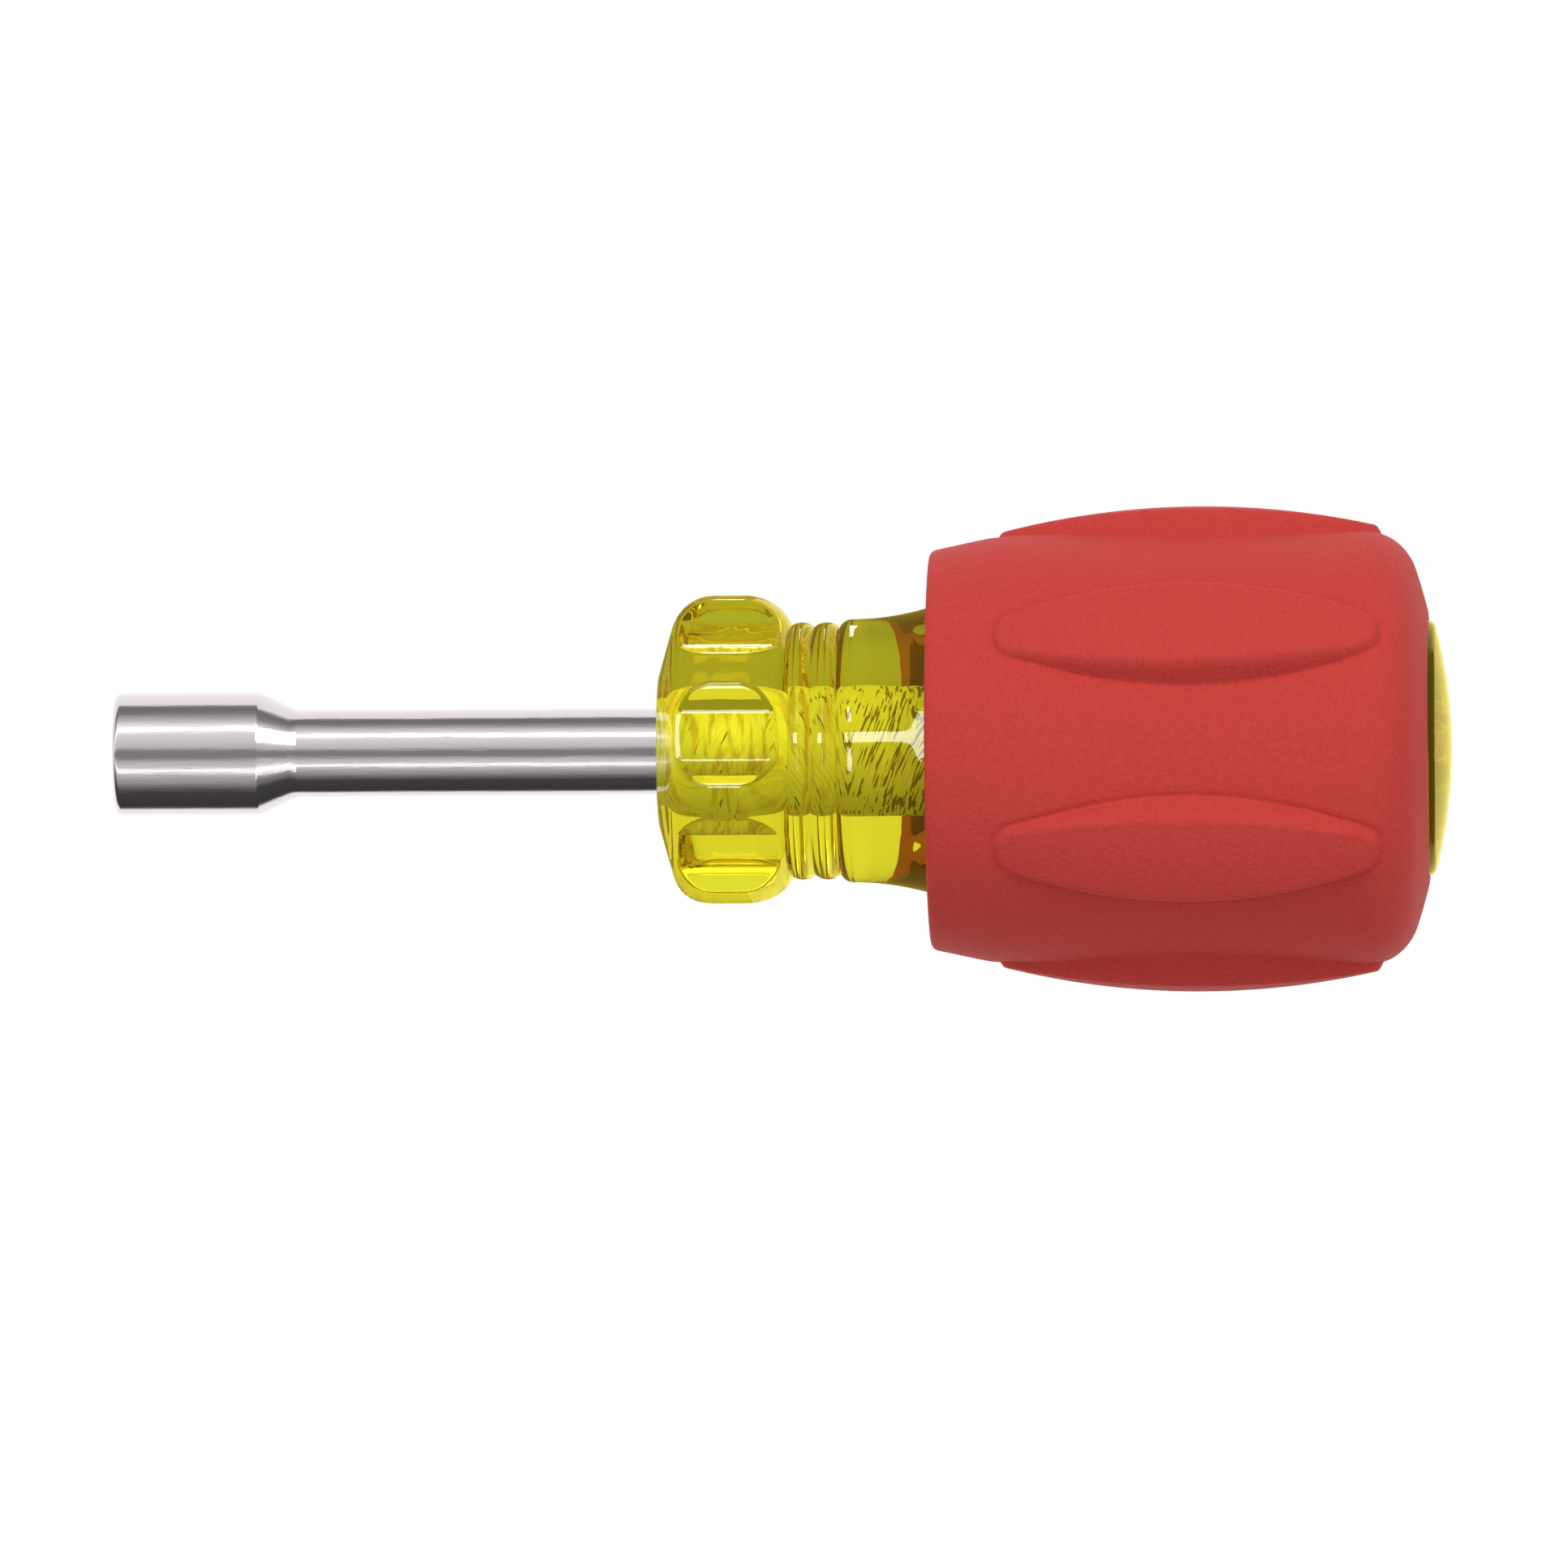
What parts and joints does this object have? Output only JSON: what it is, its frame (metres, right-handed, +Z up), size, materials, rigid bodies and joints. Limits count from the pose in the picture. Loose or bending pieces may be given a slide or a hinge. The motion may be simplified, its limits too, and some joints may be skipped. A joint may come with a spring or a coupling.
{
  "type": "nut driver",
  "caption": "Stubby nut driver: a chromed shank with a hexagon socket, held in a fluted clear handle core that wears a soft sleeve with raised finger pads.",
  "frame": {"origin": "centre of the socket's mouth, on the blade's axis", "axes": "+X along the blade from the socket to the butt, +Z up, the side in the picture faces -Y"},
  "size_m": [0.0935, 0.0326, 0.034],
  "materials": {
    "chrome_plate": "bright nickel-chrome plate on alloy steel",
    "clear_acetate": "clear yellow cellulose acetate, turned and vapour polished",
    "soft_grip": "matt moulded soft sleeve with a fine grain"
  },
  "bodies": {
    "root": {"driver_shaft": "chrome_plate", "handle_core": "clear_acetate", "grip_sleeve": "soft_grip"}
  },
  "joints": []
}
